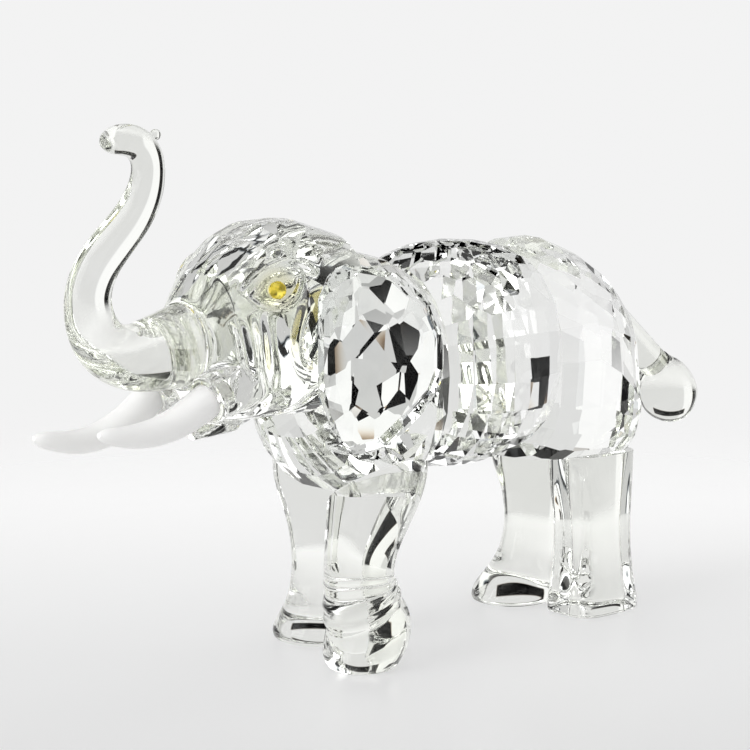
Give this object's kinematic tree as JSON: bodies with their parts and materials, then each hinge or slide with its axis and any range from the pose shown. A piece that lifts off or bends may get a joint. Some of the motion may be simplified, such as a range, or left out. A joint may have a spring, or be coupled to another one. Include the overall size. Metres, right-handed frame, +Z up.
{
  "type": "crystal glass figurine",
  "caption": "Free-standing cut-crystal glass elephant figurine with raised trunk, frosted tusks, faceted body and ears, and amber crystal eyes.",
  "frame": {"origin": "centre of the bounding box at ground level, where the feet stand", "axes": "+Z up, +Y towards the tail so that the animal faces -Y, +X to the animal's left"},
  "size_m": [0.0848, 0.2948, 0.1861],
  "materials": {
    "clear_crystal": "polished clear cut crystal",
    "frosted_crystal": "frosted satin crystal",
    "eye_crystal": "polished amber crystal",
    "eye_foil": "bright metal foil",
    "adhesive": "cured clear adhesive"
  },
  "bodies": {
    "root": {"chest_block": "clear_crystal", "torso_block": "clear_crystal", "rump_block": "clear_crystal", "head": "clear_crystal", "trunk": "clear_crystal", "tusk_left": "frosted_crystal", "tusk_right": "frosted_crystal", "ear_left": "clear_crystal", "ear_right": "clear_crystal", "eye_left": "eye_crystal", "eye_right": "eye_crystal", "eye_foil_left": "eye_foil", "eye_foil_right": "eye_foil", "leg_front_left": "clear_crystal", "leg_front_right": "clear_crystal", "leg_rear_left": "clear_crystal", "leg_rear_right": "clear_crystal", "tail_rod": "clear_crystal", "tail_drop": "clear_crystal", "neck_bond": "adhesive", "front_waist_bond": "adhesive", "rear_waist_bond": "adhesive", "trunk_bond": "adhesive", "tusk_left_bond": "adhesive", "tusk_right_bond": "adhesive", "ear_left_bond": "adhesive", "ear_right_bond": "adhesive", "leg_front_left_bond": "adhesive", "leg_front_right_bond": "adhesive", "leg_rear_left_bond": "adhesive", "leg_rear_right_bond": "adhesive", "tail_root_bond": "adhesive", "tail_drop_bond": "adhesive"}
  },
  "joints": []
}
